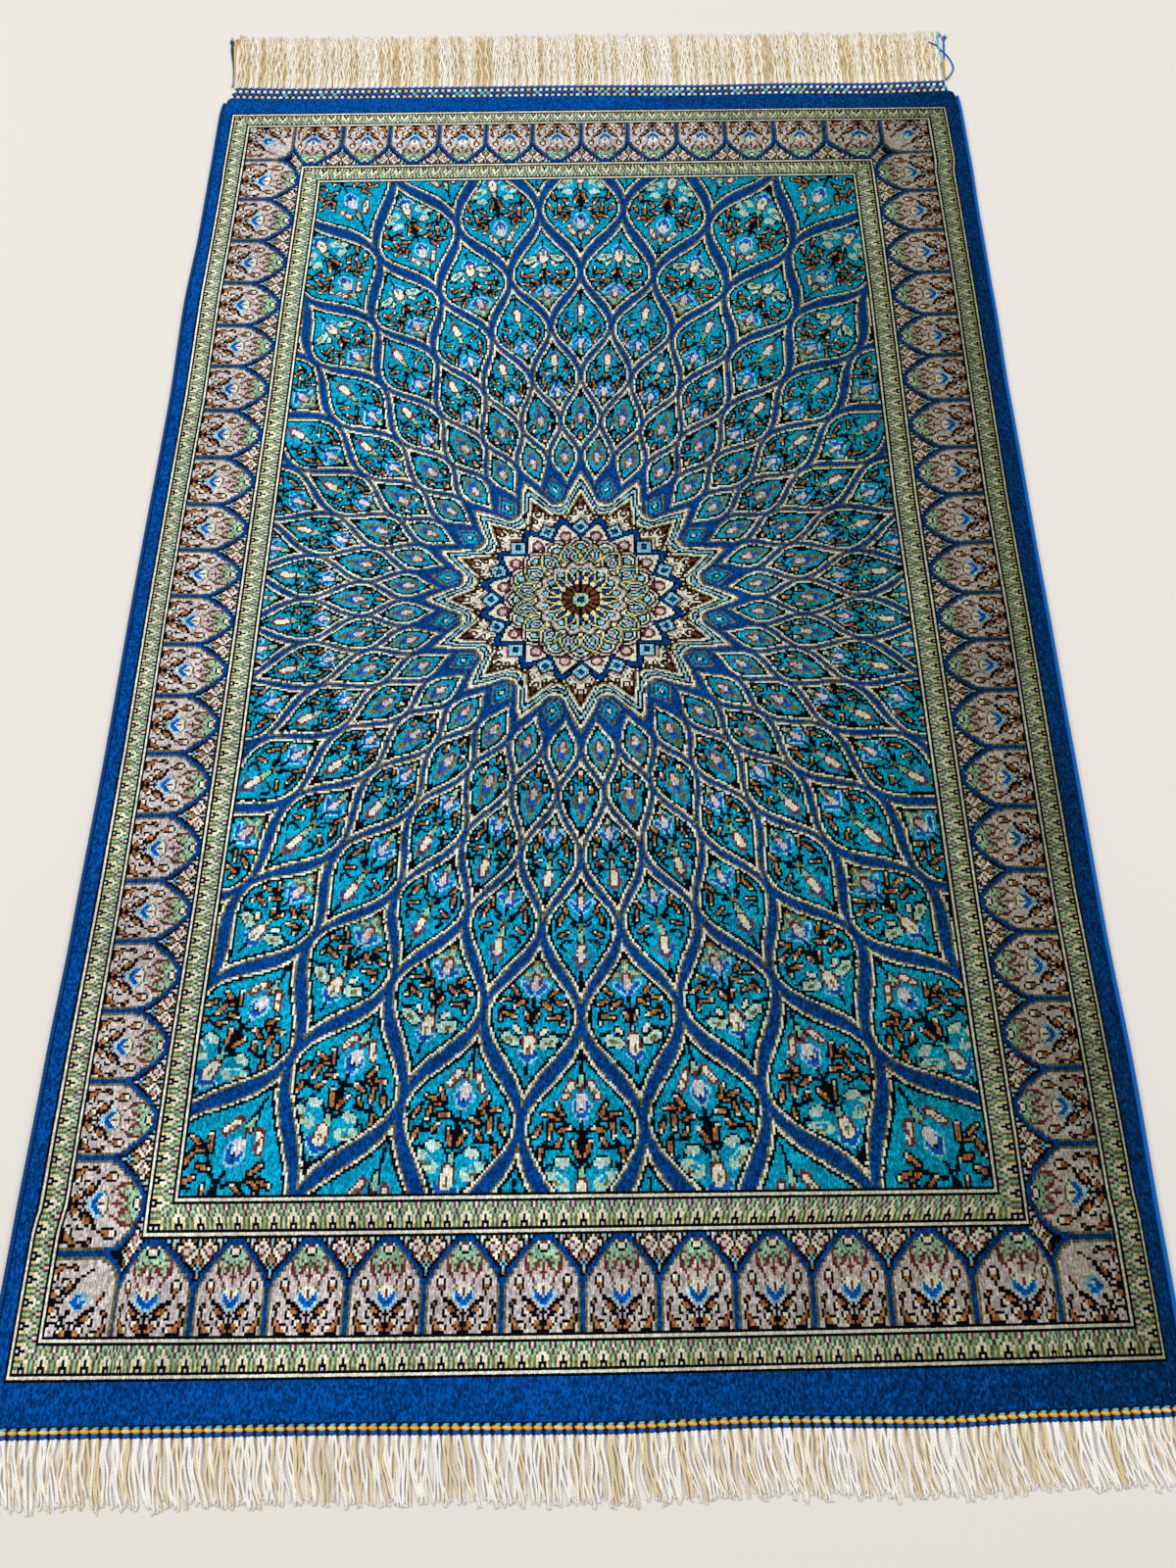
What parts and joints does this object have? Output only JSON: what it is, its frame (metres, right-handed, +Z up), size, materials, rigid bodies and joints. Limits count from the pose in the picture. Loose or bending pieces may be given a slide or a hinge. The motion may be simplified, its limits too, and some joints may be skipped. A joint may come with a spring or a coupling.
{
  "type": "persian rug",
  "caption": "Flat hand-knotted silk rug with a radiating dome-lattice field, arched border, overcast edges, twined end bands and fringes, to lie on a floor.",
  "frame": {"origin": "on the floor, under the middle of the rug's bounding box, fringes included", "axes": "+Y along the rug to its far end, which has the longer fringe; +X across it; +Z up, out of the pile"},
  "size_m": [0.6164, 1.0726, 0.0042],
  "materials": {
    "pile_silk": "cut silk pile, knotted in a pattern",
    "edge_silk": "overcast silk",
    "band_yarn": "twined silk yarns",
    "warp_cotton": "loose twisted warp ends",
    "tail_silk": "loose silk yarn"
  },
  "bodies": {
    "root": {"pile": "pile_silk", "selvedge_left": "edge_silk", "selvedge_right": "edge_silk", "end_band_far": "band_yarn", "end_band_near": "band_yarn", "fringe_far": "warp_cotton", "fringe_near": "warp_cotton", "yarn_tails_left": "tail_silk", "yarn_tails_right": "tail_silk"}
  },
  "joints": []
}
